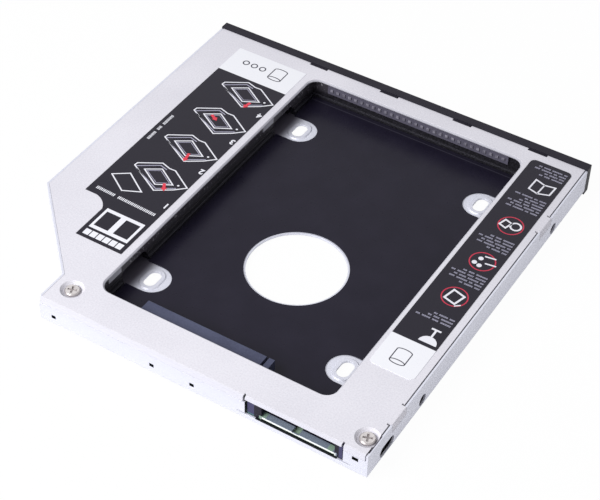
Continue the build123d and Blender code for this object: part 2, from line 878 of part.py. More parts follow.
# Socket for the drive, with two keyed slots in its face
signal_slot_width = (signal_contacts - 1) * contact_pitch + 2 * slot_end_margin
power_slot_width = (power_contacts - 1) * contact_pitch + 2 * slot_end_margin
slots_width = signal_slot_width + slot_between + power_slot_width
socket_middle_x = (socket_left_x + socket_right_x) / 2
power_slot_x = socket_middle_x - slots_width / 2 + power_slot_width / 2
signal_slot_x = socket_middle_x + slots_width / 2 - signal_slot_width / 2
with BuildPart() as drive_socket:
    with Locations((socket_middle_x, socket_rear_y, board_top)):
        Box(
            socket_width,
            socket_depth,
            socket_top - board_top,
            align=(Align.CENTER, Align.MIN, Align.MIN),
        )
    with Locations((socket_middle_x, socket_face_y, socket_skirt_bottom)):
        Box(
            socket_width,
            socket_front_depth,
            socket_top - socket_skirt_bottom,
            align=(Align.CENTER, Align.MAX, Align.MIN),
        )
    # End post beside the power slot, joined to the body at the back
    with Locations((socket_right_x, socket_rear_y, board_top)):
        Box(
            socket_post_gap + socket_post_width,
            socket_depth / 2,
            socket_top - board_top,
            align=Align.MIN,
        )
    with Locations((socket_right_x + socket_post_gap, socket_rear_y, board_top)):
        Box(
            socket_post_width,
            socket_depth - socket_post_set_back,
            socket_top - board_top,
            align=Align.MIN,
        )
    chamfer(
        drive_socket.faces().sort_by(Axis.Z)[-1].edges().filter_by(Axis.X).sort_by(Axis.Y)[-1:],
        socket_edge,
    )
    for x, width, key in (
        (signal_slot_x, signal_slot_width, 1),
        (power_slot_x, power_slot_width, -1),
    ):
        with Locations((x, socket_face_y, slot_floor_z)):
            Box(
                width,
                slot_depth,
                slot_height,
                align=(Align.CENTER, Align.MAX, Align.MIN),
                mode=Mode.SUBTRACT,
            )
        with Locations((x + key * (width - slot_key) / 2, socket_face_y, slot_floor_z)):
            Box(
                slot_key,
                slot_depth,
                slot_height + slot_key,
                align=(Align.CENTER, Align.MAX, Align.MIN),
                mode=Mode.SUBTRACT,
            )
drive_socket.part.label = "drive_socket"
export_step(drive_socket.part, "parts/drive_socket.step")

# Contacts of the drive socket: springs in the slots, and their tails on the board behind it
with BuildPart() as drive_socket_contacts:
    for x, count in ((signal_slot_x, signal_contacts), (power_slot_x, power_contacts)):
        with Locations((x, socket_face_y - slot_depth, slot_floor_z)):
            with GridLocations(contact_pitch, 1, count, 1):
                Box(
                    contact_width,
                    contact_length,
                    contact_thickness,
                    align=(Align.CENTER, Align.MIN, Align.MIN),
                )
        with Locations((x, socket_rear_y, board_top)):
            with GridLocations(contact_pitch, 1, count, 1):
                Box(
                    contact_width,
                    tail_length,
                    contact_thickness,
                    align=(Align.CENTER, Align.MAX, Align.MIN),
                )
drive_socket_contacts.part.label = "drive_socket_contacts"
export_step(drive_socket_contacts.part, "parts/drive_socket_contacts.step")

# Plug for the computer: a base, a cheek at each end and two tongues that reach the rear
tongue_left_x = plug_left_x + plug_cheek_left + tongue_inset
tongue_right_x = plug_right_x - plug_cheek_right - tongue_inset
tongue_span = tongue_right_x - tongue_left_x - tongue_between
plug_total = plug_signal_contacts + plug_power_contacts
power_tongue = tongue_span * plug_power_contacts / plug_total
signal_tongue = tongue_span * plug_signal_contacts / plug_total
power_tongue_x = tongue_left_x + power_tongue / 2
signal_tongue_x = tongue_right_x - signal_tongue / 2
with BuildPart() as bay_plug:
    with Locations(((plug_left_x + plug_right_x) / 2, plug_front_y, board_top)):
        Box(
            plug_right_x - plug_left_x,
            plug_base_depth,
            plug_top - board_top,
            align=(Align.CENTER, Align.MAX, Align.MIN),
        )
    for x, width, side in (
        (plug_left_x, plug_cheek_left, Align.MIN),
        (plug_right_x, plug_cheek_right, Align.MAX),
    ):
        with Locations((x, plug_rear_y, board_top)):
            Box(
                width,
                plug_front_y - plug_rear_y,
                plug_top - board_top,
                align=(side, Align.MIN, Align.MIN),
            )
    for x, width in ((power_tongue_x, power_tongue), (signal_tongue_x, signal_tongue)):
        with Locations((x, plug_rear_y, tongue_bottom)):
            Box(
                width,
                plug_front_y - plug_rear_y,
                tongue_thickness,
                align=(Align.CENTER, Align.MIN, Align.MIN),
            )
    # Thin nose that joins the rear ends of both tongues
    with Locations(((tongue_left_x + tongue_right_x) / 2, plug_rear_y, tongue_bottom)):
        Box(
            tongue_right_x - tongue_left_x,
            tongue_nose_depth,
            tongue_nose_height,
            align=(Align.CENTER, Align.MIN, Align.MIN),
        )
bay_plug.part.label = "bay_plug"
export_step(bay_plug.part, "parts/bay_plug.step")

with BuildPart() as bay_plug_contacts:
    for x, width, count in (
        (power_tongue_x, power_tongue, plug_power_contacts),
        (signal_tongue_x, signal_tongue, plug_signal_contacts),
    ):
        with Locations((x, plug_rear_y + plug_contact_from_end, tongue_bottom)):
            with GridLocations(width / count, 1, count, 1):
                Box(
                    plug_contact_width,
                    plug_contact_length,
                    plug_contact_thickness,
                    align=(Align.CENTER, Align.MIN, Align.MAX),
                )
        with Locations((x, plug_front_y, board_top)):
            with GridLocations(width / count, 1, count, 1):
                Box(
                    plug_contact_width,
                    plug_tail_length,
                    contact_thickness,
                    align=(Align.CENTER, Align.MIN, Align.MIN),
                )
bay_plug_contacts.part.label = "bay_plug_contacts"
export_step(bay_plug_contacts.part, "parts/bay_plug_contacts.step")

# Metal hold-downs: an upright leg against the housing and a foot on the board
with BuildPart() as socket_hold_downs:
    for x, away in ((socket_left_x, Align.MAX), (socket_end_x, Align.MIN)):
        with Locations((x, socket_rear_y + hold_down_length / 2, board_top)):
            Box(hold_down_foot, hold_down_length, hold_down_thickness, align=(away, Align.MIN, Align.MIN))
            Box(hold_down_thickness, hold_down_length, hold_down_height, align=(away, Align.MIN, Align.MIN))
socket_hold_downs.part.label = "socket_hold_downs"
export_step(socket_hold_downs.part, "parts/socket_hold_downs.step")

with BuildPart() as plug_hold_downs:
    for x, away in ((plug_left_x, Align.MAX), (plug_right_x, Align.MIN)):
        with Locations((x, plug_front_y, board_top)):
            Box(hold_down_foot, hold_down_length, hold_down_thickness, align=(away, Align.MAX, Align.MIN))
            Box(hold_down_thickness, hold_down_length, hold_down_height, align=(away, Align.MAX, Align.MIN))
plug_hold_downs.part.label = "plug_hold_downs"
export_step(plug_hold_downs.part, "parts/plug_hold_downs.step")

# Small parts soldered on the board
with BuildPart() as board_capacitors:
    with Locations(*[(x, y, board_top) for x, y in capacitor_places]):
        Box(*capacitor_size, align=lowest)
board_capacitors.part.label = "board_capacitors"
export_step(board_capacitors.part, "parts/board_capacitors.step")

with BuildPart() as board_resistors:
    with Locations(*[(x, y, board_top) for x, y in resistor_places]):
        Box(*resistor_size, align=lowest)
board_resistors.part.label = "board_resistors"
export_step(board_resistors.part, "parts/board_resistors.step")

# Bezel: a moulded front with a hollow back, ribs, clips at top and bottom and an arm at each side
bezel_y = (bezel_front_y + bezel_back_y) / 2
with BuildPart() as bezel:
    with Locations((0, bezel_y, 0)):
        Box(body_width, bezel_depth, bezel_height, align=lowest)
    front_face = bezel.faces().sort_by(Axis.Y)[-1]
    fillet(front_face.edges(), bezel_round)
    with Locations((0, bezel_back_y, bezel_height / 2)):
        Box(
            body_width - 2 * bezel_rim,
            bezel_depth - bezel_face,
            bezel_height - 2 * bezel_rim,
            align=(Align.CENTER, Align.MIN, Align.CENTER),
            mode=Mode.SUBTRACT,
        )
    with Locations((0, bezel_back_y, bezel_height / 2)):
        with GridLocations(bezel_rib_pitch, 1, bezel_rib_count, 1):
            Box(
                bezel_rib,
                bezel_depth - bezel_face,
                bezel_height - 2 * bezel_rim,
                align=(Align.CENTER, Align.MIN, Align.CENTER),
            )
    # Clips that show in the notches of the cover, and those through the front wall of the base
    for x in clip_places_x:
        with Locations((x, bezel_back_y, cover_top + clip_proud - clip_thickness)):
            Box(
                clip_width,
                clip_reach,
                clip_thickness,
                align=(Align.CENTER, Align.MAX, Align.MIN),
            )
        with Locations((x, bezel_back_y, floor_top)):
            Box(
                clip_width,
                front_gap + base_sheet + clip_reach,
                clip_thickness,
                align=(Align.CENTER, Align.MAX, Align.MIN),
            )
    for side in (-1, 1):
        arm_x = side * (half_width - base_sheet - arm_gap)
        arm_align = (Align.MAX if side > 0 else Align.MIN, Align.MIN, Align.CENTER)
        with Locations((arm_x, base_front_y - arm_length, arm_z)):
            Box(
                arm_thickness,
                arm_length + front_gap + bezel_depth - bezel_face,
                arm_height,
                align=arm_align,
            )
bezel.part.label = "bezel"
export_step(bezel.part, "parts/bezel.step")

# Left label, with its cut corner
with BuildPart() as left_label:
    with BuildSketch(Plane.XY.offset(cover_top)):
        with BuildLine():
            Line((left_label_outer_x, left_label_front_y), (left_label_inner_x, left_label_front_y))
            Line((left_label_inner_x, left_label_front_y), (left_label_inner_x, left_label_rear_y))
            Line((left_label_inner_x, left_label_rear_y), (left_label_block_x, left_label_rear_y))
            Line((left_label_block_x, left_label_rear_y), (left_label_block_x, left_label_block_y))
            ThreePointArc(
                (left_label_block_x, left_label_block_y),
                (
                    (left_label_block_x + left_label_arc_x) / 2 + left_label_arc_bow,
                    (left_label_block_y + left_label_step_y) / 2 + left_label_arc_bow,
                ),
                (left_label_arc_x, left_label_step_y),
            )
            Line((left_label_arc_x, left_label_step_y), (left_label_outer_x, left_label_step_y))
            Line((left_label_outer_x, left_label_step_y), (left_label_outer_x, left_label_front_y))
        make_face()
    extrude(amount=label_thickness)
left_label.part.label = "left_label"
export_step(left_label.part, "parts/left_label.step")

# Right label
with BuildPart() as right_label:
    with BuildSketch(Plane.XY.offset(cover_top)):
        with Locations(
            (
                right_label_right_x - right_label_width / 2,
                right_label_front_y - right_label_length / 2,
            )
        ):
            RectangleRounded(right_label_width, right_label_length, right_label_corner)
    extrude(amount=label_thickness)
right_label.part.label = "right_label"
export_step(right_label.part, "parts/right_label.step")
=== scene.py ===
# %% [markdown]
# # A drive caddy for a slim laptop bay
#
# The caddy is a folded metal tray with a thin metal cover. A 2.5 inch drive goes in through the
# window of the cover, into a socket at the rear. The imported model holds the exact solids, and
# this script gives them their finishes, adds simple prints on the two labels and lights it all.
#
# Blender works in metres. Sizes and places are written in millimetres here, and where a box of
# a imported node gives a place, it is worked out from that box.

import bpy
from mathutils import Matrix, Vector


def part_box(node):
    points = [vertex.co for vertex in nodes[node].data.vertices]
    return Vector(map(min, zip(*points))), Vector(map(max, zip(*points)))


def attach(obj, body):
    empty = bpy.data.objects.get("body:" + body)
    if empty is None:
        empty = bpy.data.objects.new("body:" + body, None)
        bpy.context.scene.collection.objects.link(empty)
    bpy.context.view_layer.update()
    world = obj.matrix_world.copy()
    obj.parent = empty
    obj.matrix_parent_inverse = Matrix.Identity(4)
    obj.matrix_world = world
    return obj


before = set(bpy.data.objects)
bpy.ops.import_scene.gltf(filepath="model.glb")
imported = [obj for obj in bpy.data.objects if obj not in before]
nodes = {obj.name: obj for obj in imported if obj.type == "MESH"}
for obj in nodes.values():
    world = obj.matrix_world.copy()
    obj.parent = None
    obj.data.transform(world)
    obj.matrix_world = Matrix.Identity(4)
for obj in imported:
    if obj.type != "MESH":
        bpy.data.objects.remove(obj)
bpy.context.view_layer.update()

# %% Modules and units
from math import cos, pi, radians, sin

import bmesh
import bpy
from mathutils import Matrix, Vector

MM = 0.001
scene = bpy.context.scene
print("one millimetre is", MM, "of Blender's units")

# %% [markdown]
# ## Colours
#
# Colours are written the way a picture shows them, from 0 to 255, because they can be compared
# with a photograph by eye. Blender works with linear light, so each one is converted.

# %% Colours as a picture shows them
def tint(red, green, blue):
    """The linear colour for three values from 0 to 255."""
    parts = []
    for value in (red, green, blue):
        value /= 255
        parts.append(value / 12.92 if value <= 0.04045 else ((value + 0.055) / 1.055) ** 2.4)
    return (*parts, 1.0)


print("a middle grey of 128 is", round(tint(128, 128, 128)[0], 3), "in linear light")

# %% [markdown]
# ## Shader maths as Python
#
# A finish needs sums and masks, and a chain of Math nodes is hard to read. The class Link wraps
# one output of a node, so that `grain * 0.1 + 0.4` adds the nodes by itself. Colours go through
# a Mix node, because a Math node would turn them grey.

# %% One output of a node, with Python's operators
class Link:
    def __init__(self, graph, socket):
        self.graph = graph
        self.socket = socket

    def calc(self, operation, *others):
        """A Math node on this output and the other values."""
        inputs = dict(enumerate((self, *others)))
        return self.graph.node("ShaderNodeMath", {"operation": operation}, inputs)

    def __add__(self, other):
        return self.calc("ADD", other)

    __radd__ = __add__

    def __mul__(self, other):
        return self.calc("MULTIPLY", other)

    __rmul__ = __mul__

    def __sub__(self, other):
        return self.calc("SUBTRACT", other)

    def __rsub__(self, other):
        """other - link, as link * -1 + other in one node."""
        return self.calc("MULTIPLY_ADD", -1, other)

    def capped(self):
        """At most 1, for a sum of masks that may overlap."""
        return self.calc("MINIMUM", 1)

    def ramp(self, low, high):
        """0 up to low, 1 from high, and smooth between them."""
        limits = {"Value": self, "From Min": low, "From Max": high}
        return self.graph.node("ShaderNodeMapRange", {"interpolation_type": "SMOOTHSTEP"}, limits)

    def above(self, place, soft=0.02):
        """A mask that is 1 past a place, with an edge that is soft to both sides of it."""
        return self.ramp(place - soft, place + soft)

    def below(self, place, soft=0.02):
        """A mask that is 1 before a place."""
        return 1 - self.above(place, soft)

    def mix(self, at_zero, at_one):
        """This mask's mix of two colours."""
        inputs = {"Factor": self, 6: at_zero, 7: at_one}
        return self.graph.node("ShaderNodeMix", {"data_type": "RGBA"}, inputs, out=2)


def between(value, low, high, soft=0.02):
    """A mask that is 1 between two places and 0 outside them."""
    return value.above(low, soft) * value.below(high, soft)


# %% The nodes of a material or of the world
class Graph:
    def __init__(self, tree):
        self.tree = tree

    def feed(self, socket, value):
        if isinstance(value, Link):
            self.tree.links.new(value.socket, socket)
        else:
            socket.default_value = value

    def node(self, kind, settings=None, inputs=None, out=0):
        """Any node: its settings are set first, then the values or links of its sockets."""
        made = self.tree.nodes.new(kind)
        for name, value in (settings or {}).items():
            setattr(made, name, value)
        for key, value in (inputs or {}).items():
            self.feed(made.inputs[key], value)
        return Link(self, made.outputs[out])

    def seen_by_camera(self):
        """1 for rays from the camera, a mirror or a clear body, and 0 for diffuse light."""
        rays = ("Is Camera Ray", "Is Glossy Ray", "Is Transmission Ray")
        straight, mirrored, through = (self.node("ShaderNodeLightPath", out=ray) for ray in rays)
        return (straight + mirrored + through).capped()


# %% A finish: one material with its shader
class Finish(Graph):
    def __init__(self, name, **fixed):
        """fixed holds sockets of the shader that are the same all over, such as ior=1.5."""
        self.material = bpy.data.materials.new(name)
        self.material.use_nodes = True
        super().__init__(self.material.node_tree)
        self.shader = self.tree.nodes["Principled BSDF"]
        self.set(**fixed)

    def set(self, **sockets):
        for name, value in sockets.items():
            title = name.replace("_", " ").title().replace("Ior", "IOR")
            self.feed(self.shader.inputs[title], value)

    def paint(self, colour):
        """The colour of the whole piece."""
        self.colour = colour
        self.set(base_color=colour)

    def mark(self, mask, colour):
        """Another colour on top, where the mask is 1."""
        self.paint(mask.mix(self.colour, colour))

    def place(self):
        """The point on the surface, in millimetres."""
        point = self.node("ShaderNodeTexCoord", out="Object")
        return self.node("ShaderNodeVectorMath", {"operation": "SCALE"}, {0: point, "Scale": 1 / MM})

    def along(self, axis):
        """How far along X, Y or Z the point is, in millimetres."""
        return self.node("ShaderNodeSeparateXYZ", inputs={0: self.place()}, out=axis)

    def noise(self, size, detail=2.0):
        """Soft noise from 0 to 1 with spots of about this size, in millimetres."""
        inputs = {"Vector": self.place(), "Scale": 1 / size, "Detail": detail}
        return self.node("ShaderNodeTexNoise", inputs=inputs)

    def bump(self, height, depth, edge=0.0):
        """Relief of this depth in millimetres, on edges that are rounded by a radius."""
        inputs = {"Height": height, "Strength": 1.0, "Distance": depth * MM}
        if edge:
            inputs["Normal"] = self.node("ShaderNodeBevel", {"samples": 4}, {"Radius": edge * MM})
        self.set(normal=self.node("ShaderNodeBump", inputs=inputs))


print("shader helpers are ready")

# %% [markdown]
# ## Satin sheet metal
#
# The cover and the tray are blasted aluminium sheet. Up close it is a fine grain of tiny bright
# facets, from further away an even silver with soft clouds. One noise can't be both, so there
# are three sizes of it: clouds of some centimetres, grain below a millimetre and a few sparks.
# The sparks are smoother facets, and their colour is mixed towards white as painted glints.

# %% Sheet metal
cloud_size = 22
grain_size = 0.45
spark_size = 0.3
grain_relief = 0.012
sheet_edge = 0.18


def sheet_metal(name, colour, dark, metallic, shine, rough):
    finish = Finish(name, metallic=metallic, specular_ior_level=shine)
    clouds = finish.noise(cloud_size, detail=3)
    grain = finish.noise(grain_size, detail=4)
    facets_and_glints = finish.noise(spark_size).ramp(0.62, 0.8)
    finish.paint((clouds * 0.35 + grain * 0.65).ramp(0.3, 0.7).mix(dark, colour))
    # painted glints: the sparks are mixed half way to white
    finish.mark(facets_and_glints * 0.5, tint(252, 252, 255))
    finish.set(roughness=rough + 0.16 * grain - 0.1 * facets_and_glints)
    finish.bump(grain + facets_and_glints * 0.6, grain_relief, sheet_edge)
    return finish


cover_finish = sheet_metal(
    "blasted_cover_sheet", tint(235, 233, 240), tint(219, 217, 225), metallic=0.05, shine=0.1, rough=0.46
)
tray_finish = sheet_metal(
    "blasted_tray_sheet", tint(226, 227, 238), tint(216, 217, 230), metallic=0.3, shine=0.5, rough=0.36
)
print("metal:", cover_finish.material.name, tray_finish.material.name)

# %% [markdown]
# Each cover screw sits in a pressed dish, and the narrow gap round its head is dark. The gap is
# too fine to catch its shade from the light alone, so a ring mask deepens it. One node holds both
# screws, so the middle of each head is measured from the vertices on its side of the caddy.

# %% Rings round the cover screws
head_radius = 2.15


def head_centre(side):
    """X and Y of the middle of one cover screw, in millimetres."""
    places = [v.co / MM for v in nodes["cover_screws"].data.vertices if v.co.x * side > 0]
    return [(min(p[axis] for p in places) + max(p[axis] for p in places)) / 2 for axis in (0, 1)]


head_centres = [head_centre(side) for side in (-1, 1)]


def around_heads(finish, inner, outer):
    """1 on a ring round both heads, between two radii in millimetres."""
    rings = 0
    for centre_x, centre_y in head_centres:
        x, y = finish.along("X") - centre_x, finish.along("Y") - centre_y
        rings = rings + between((x * x + y * y).calc("SQRT"), inner, outer, soft=0.1)
    return rings


for centre in head_centres:
    print("cover screw at", [round(place, 2) for place in centre], "mm")

# %% [markdown]
# The cover's edges are painted darker than the flat sheet. The rolled edge of the window, its
# front lip and the fold between flange and top get painted shade, and the flange over the rear
# wall is painted a little greyer. They are faces of one solid, and masks on the place of a point
# tell them apart.

# %% Painted shade on the edges of the cover
cover_low, cover_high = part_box("top_cover")
cover_rear = cover_low.y / MM
cover_top = cover_high.z / MM
window_sides = (-26.6, 47.0)
window_ends = (-53.9, 56.5)
lip_depth = 2.1
edge_shade_grey = tint(205, 204, 213)
flange_grey = tint(214, 213, 222)
lip_shade_grey = tint(188, 187, 196)
fold_shade_grey = tint(204, 203, 212)
gap_shade_grey = tint(120, 116, 124)

across, along, up = (cover_finish.along(axis) for axis in "XYZ")
window_lip_shade = between(across, *window_sides) * between(along, *window_ends) * up.below(cover_top - 0.05)
rear_flange = along.below(cover_rear + 0.3, soft=0.15)
rear_fold_shade = along.below(cover_rear + 0.45, soft=0.2) * up.above(cover_top - 0.55, soft=0.15)
front_lip_shade = window_lip_shade * along.above(window_ends[1] - lip_depth, soft=0.2)
dish_gap_shade = around_heads(cover_finish, head_radius - 0.2, head_radius + 0.35)
dish_gap_shade = dish_gap_shade * up.below(cover_top - 0.15, soft=0.25)

# painted shade on the window's rolled edge, and a greyer flange over the rear wall
cover_finish.mark((window_lip_shade + rear_flange).capped(), rear_flange.mix(edge_shade_grey, flange_grey))
# more painted shade on the window's front lip
cover_finish.mark(front_lip_shade, lip_shade_grey)
# painted shade on the fold between flange and top
cover_finish.mark(rear_fold_shade, fold_shade_grey)
# painted shade in the narrow gap round each screw head
cover_finish.mark(dish_gap_shade * 0.45, gap_shade_grey)
print("cover's rear at y", round(cover_rear, 2), "and its top at z", round(cover_top, 2), "mm")

# %% [markdown]
# The channels under the cover, outside the rails and behind the board, get no light in the real
# caddy. A mask on the place of a point turns the tray dark there, so that its holes and the seam
# along the cover look deep.

# %% Where the tray is dark
tray_low, tray_high = (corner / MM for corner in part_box("base_tray"))
rails_low, rails_high = (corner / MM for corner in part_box("inner_frame"))
foot_width = 7.0
notch_width = 26.5
skin = 0.57
across, along, up = (tray_finish.along(axis) for axis in "XYZ")

inside = (
    between(across, tray_low.x + notch_width + skin, tray_high.x - skin)
    * between(along, tray_low.y + skin, tray_high.y - skin)
    * up.above(tray_low.z + skin)
)
beside_rails = across.above(rails_high.x - foot_width + 0.55, soft=0.05)
behind_board = along.below(rails_low.y - 0.45, soft=0.05)
channels = (beside_rails + behind_board).capped() * inside
# painted shadow: the floor darkens towards the left rail, in the shade under it
shadow_under_left_rail = (1 - across.ramp(-25.5, -21.2)) * inside
at_seam = up.ramp(6.0, 8.5) * across.above(tray_high.x - 1.25, soft=0.25)
print("rails from x", round(rails_low.x, 1), "to", round(rails_high.x, 1), "mm")

# %% [markdown]
# At the rear the cut edges of the openings are painted dark, and the line under the plug's nose
# gets a painted shadow. The wall is painted a little darker towards its top edge. The seam at the
# right rear corner is wider than the rest of it, and painted shade on the top of the tray's wall
# stands in for that.

# %% The rear of the tray
nose_sides = (31.0, 55.0)
nose_line = (2.6, 2.7)
openings_sides = (-36.7, 63.1)
openings_heights = (2.9, 6.8)
wall_depth = (tray_low.y + 0.04, tray_low.y + 0.65)
open_seam_sides = (62.9, 63.45)
open_seam_ends = (-63.6, -57.2)

shadow_under_nose = between(across, *nose_sides) * between(up, *nose_line)
shadow_under_nose = shadow_under_nose * along.below(tray_low.y + 0.6, soft=0.05)
cut_edges = (
    between(across, *openings_sides) * between(along, *wall_depth) * between(up, *openings_heights)
)
wide_seam_shade = between(across, *open_seam_sides) * between(along, *open_seam_ends) * up.above(7.8, soft=0.2)
rear_wall = along.below(tray_low.y + 0.05, soft=0.1) * up.ramp(4.0, 8.5)

# the rear wall is painted a little darker towards its top edge
tray_finish.mark(rear_wall, tint(216, 216, 228))
# painted shadow under the left rail
tray_finish.mark(shadow_under_left_rail, tint(84, 80, 92))
tray_finish.mark(channels, at_seam.mix(tint(18, 17, 24), tint(150, 149, 160)))
# cut edges painted dark, and a painted shadow under the plug's nose
tray_finish.mark((shadow_under_nose + cut_edges).capped(), tint(22, 26, 30))
# painted shade that widens the seam at the right rear corner
tray_finish.mark(wide_seam_shade, tint(70, 66, 78))
print("tray's rear wall at y", round(tray_low.y, 2), "mm")

# %% [markdown]
# ## Black film and plastics
#
# The film on the floor is smooth and a little glossy, the frame round the bay has the fine
# texture of a spark-eroded mould, and the bezel is matt. All three are nearly black. What tells
# them apart is how rough they are, so that is where their noise goes.

# %% Moulded plastics
def moulded(name, roughness, texture=0.35, colours=None, relief=0.02, edge=0.12, shine=0.3):
    """A plastic with a fine grain. colours are its main and its worn colour, in soft clouds."""
    finish = Finish(name, specular_ior_level=shine)
    grain = finish.noise(texture, detail=3)
    finish.set(roughness=roughness - 0.08 + 0.16 * grain)
    if colours:
        finish.paint((finish.noise(14) * 0.6 + grain * 0.4).ramp(0.3, 0.75).mix(*colours))
    if relief:
        finish.bump(grain, relief, edge)
    return finish


bezel_black = (tint(27, 25, 35), tint(39, 36, 47))
slate = (tint(62, 65, 88), tint(80, 84, 108))
glaze = (tint(24, 24, 26), tint(40, 40, 42))
ceramic = (tint(150, 122, 92), tint(176, 146, 112))
bezel_finish = moulded("matt_bezel", 0.5, 0.4, bezel_black, edge=0.25, shine=0.18)
socket_finish = moulded("slate_socket", 0.48, 0.5, slate)
resistor_finish = moulded("resistor_black", 0.5, colours=glaze)
capacitor_finish = moulded("capacitor_ceramic", 0.5, colours=ceramic)
print("plastics:", bezel_finish.material.name, socket_finish.material.name)

# %% The buffer, with stud tips painted lighter
buffer_low, buffer_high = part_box("drive_buffer")
buffer_finish = moulded("grey_buffer", 0.45, 0.4)
stud_tips = buffer_finish.along("Y").below(buffer_low.y / MM + 0.15, soft=0.05)
wear = buffer_finish.noise(1.6).ramp(0.35, 0.7)
buffer_finish.paint(buffer_finish.noise(0.6).mix(tint(84, 81, 96), tint(104, 101, 116)))
# the stud tips are painted lighter, mottled by a noise
buffer_finish.mark(stud_tips, wear.mix(tint(110, 107, 120), tint(150, 147, 160)))
print("buffer is", round((buffer_high.x - buffer_low.x) / MM, 1), "mm long")

# %% [markdown]
# The frame's left rail is painted lighter towards its top, as painted light, with small light
# specks on it, and two thin ledges get a painted highlight all the way round. Marks over the
# black say that without any change to the solid.

# %% The moulded frame
frame_finish = moulded("textured_black_frame", 0.38, 0.5, relief=0.06)
foot_ledge = (2.38, 2.6)
rail_ledge = (4.5, 4.62)
left_rail_side = -19.5
up = frame_finish.along("Z")
ledge_highlights = between(up, *foot_ledge) + between(up, *rail_ledge)
left_rail = frame_finish.along("X").below(left_rail_side, soft=0.5)
specks = frame_finish.noise(0.7, detail=1).ramp(0.6, 0.72) * up.ramp(4.0, 6.4) * left_rail
grain = frame_finish.noise(0.5, detail=3).ramp(0.35, 0.75)
frame_finish.paint(grain.mix(tint(18, 17, 22), tint(42, 40, 48)))
# painted light: the left rail is lighter towards its top
frame_finish.mark(left_rail * up.ramp(3.0, 6.0), tint(66, 63, 70))
frame_finish.mark(specks * 0.5, tint(190, 188, 196))
# painted highlight along the two ledges
frame_finish.mark(ledge_highlights * 0.1, tint(108, 106, 124))
print("frame:", frame_finish.material.name)

# %% The insulating film, with a painted highlight along a faint crease at its front edge
film_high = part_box("insulating_film")[1]
film_front = film_high.y / MM
film_finish = moulded("smooth_black_film", 0.3, 1.8, relief=0, shine=0.17)
crease_highlight = between(film_finish.along("Y"), film_front - 1.5, film_front - 1.25)
clouds = film_finish.noise(9, detail=3).ramp(0.3, 0.75)
film_finish.paint(clouds.mix(tint(25, 22, 37), tint(30, 27, 42)))
# painted highlight where the film is creased
film_finish.mark(crease_highlight * 0.3, tint(96, 94, 108))
print("film ends at y", round(film_front, 1), "mm")

# %% [markdown]
# ## The plug and the board
#
# The plug's two tongues are painted a lighter slate than its cheeks as far as the light reaches
# into the mouth, which is painted light. The plug inside its outer edges is painted dark, as
# painted shade for the deep mouth, and the tongues' rear ends get a painted highlight.
# One node holds all of it, so masks on the place of a point tell the parts from each other.

# %% Places on the plug
plug_low, plug_high = (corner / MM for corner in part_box("bay_plug"))
contact_low, contact_high = (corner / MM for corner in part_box("bay_plug_contacts"))
mouth_margin = 1.2
mouth_left = contact_low.x - mouth_margin
mouth_right = contact_high.x + mouth_margin
tongue_limit = 4.0
nose_limit = 3.745
cheek_foot = 3.2
lit_depth = 1.85
plug_finish = Finish("plug_housing", specular_ior_level=0.2)
across, along, up = (plug_finish.along(axis) for axis in "XYZ")

tongue_light = (
    between(across, mouth_left, mouth_right)
    * up.below(tongue_limit, soft=0.05)
    * along.below(plug_low.y + lit_depth, soft=0.15)
)
rear_end_highlight = (
    between(across, mouth_left + 0.6, mouth_right - 0.4)
    * up.below(nose_limit, soft=0.025)
    * along.below(plug_low.y + 0.06, soft=0.04)
)
tongue_ends = between(across, mouth_left, mouth_left + 1.9)
tongue_ends = tongue_ends + between(across, mouth_right - 2.9, mouth_right - 1.3)
foot_of_cheek = up.below(cheek_foot, soft=0.2) * across.below(mouth_left - 0.8, soft=0.2)
mouth_shade = between(across, plug_low.x + 2.0, plug_high.x - 1.1)
print("plug's mouth from x", round(mouth_left, 1), "to", round(mouth_right, 1), "mm")

# %% Colours of the plug
grain = plug_finish.noise(0.5)
tongue = grain.mix(tint(112, 121, 138), tint(128, 139, 152))
plug_finish.paint(grain.mix(tint(58, 56, 88), tint(70, 68, 102)))
plug_finish.mark(foot_of_cheek, tint(74, 112, 114))
# painted shade inside the plug's outer edges
plug_finish.mark(mouth_shade, tint(26, 23, 38))
# painted light on the tongues as far as the light reaches, pale green at their ends
plug_finish.mark(tongue_light, (tongue_ends * 0.7).mix(tongue, tint(140, 170, 142)))
# painted highlight on the tongues' rear ends
plug_finish.mark(rear_end_highlight, tint(250, 253, 250))
plug_finish.set(roughness=0.4 + 0.15 * grain)
plug_finish.bump(grain, 0.01, edge=0.1)
print("plug:", plug_finish.material.name)

# %% [markdown]
# The board is green lacquer over copper tracks. Of the whole board only the rear edge shows, so
# a hard-edged noise is enough for the tracks. The strip inside the plug is painted paler, as
# painted light for the light from outside, and the sawn edge is bare and dark.

# %% The printed circuit board
board_finish = Finish("green_board", coat_weight=0.4, coat_roughness=0.2)
board_low, board_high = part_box("connector_board")
strip_in_plug = 3.7
weave = board_finish.noise(0.8)
tracks = board_finish.noise(2.6, detail=0).ramp(0.47, 0.53)
from_edge = board_finish.along("Y") - board_low.y / MM
board_finish.paint((tracks * 0.45 + weave * 0.3).mix(tint(60, 128, 84), tint(120, 178, 130)))
# painted light: the strip inside the plug is paler
board_finish.mark(from_edge.below(strip_in_plug, soft=0.1) * 0.7, tint(158, 172, 158))
board_finish.mark(from_edge.below(0.04), tint(30, 40, 36))
board_finish.set(roughness=0.42 + 0.1 * weave)
board_finish.bump(tracks, 0.02)
print("board is", round((board_high.x - board_low.x) / MM, 1), "mm wide")

# %% [markdown]
# ## Bright metals
#
# Contacts, hold-downs, posts and screws are plated or turned metal. They are small, so one
# function with a fine wear noise does for all four. The screws get two marks more: painted shade
# in the cross recess, and painted shade on the rim that makes the heads look as small as the real
# ones.

